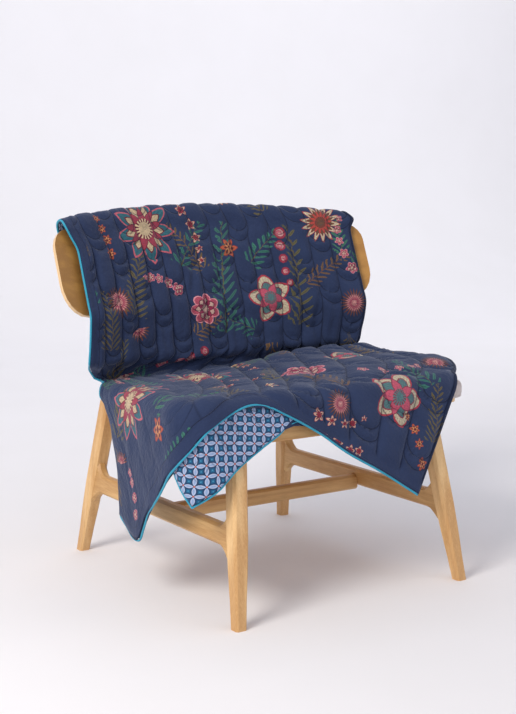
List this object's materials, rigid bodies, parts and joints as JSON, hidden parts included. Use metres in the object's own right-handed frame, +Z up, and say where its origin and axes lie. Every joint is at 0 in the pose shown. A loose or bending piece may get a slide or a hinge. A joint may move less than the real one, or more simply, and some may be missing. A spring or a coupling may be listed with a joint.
{
  "type": "quilted bedspread draped over an armless lounge chair",
  "caption": "Quilted printed bedspread with round piping, folded once along its length and draped over the backrest and seat of an armless wooden lounge chair.",
  "frame": {"origin": "on the floor under the middle of the chair, at the centre of the outline's box", "axes": "+Z up, -Y towards the chair's front, +X to the right of someone who faces the chair"},
  "size_m": [0.79, 0.6556, 0.7655],
  "materials": {
    "quilted_cotton": "puffed quilted cotton, printed with flowers on navy, tiled on the back",
    "piping_cotton": "plain turquoise cotton over a round cord",
    "oak": "oiled pale oak",
    "plywood": "satin varnished plywood",
    "upholstery": "pinkish grey woven upholstery"
  },
  "bodies": {
    "root": {"bedspread": "quilted_cotton", "piping": "piping_cotton", "leg_front_left": "oak", "leg_front_right": "oak", "leg_rear_left": "oak", "leg_rear_right": "oak", "stretcher_left": "oak", "stretcher_right": "oak", "stretcher_cross": "oak", "rail_front": "oak", "rail_rear": "oak", "rail_left": "oak", "rail_right": "oak", "seat_board": "plywood", "backrest_panel": "plywood", "seat_pad": "upholstery"}
  },
  "joints": []
}
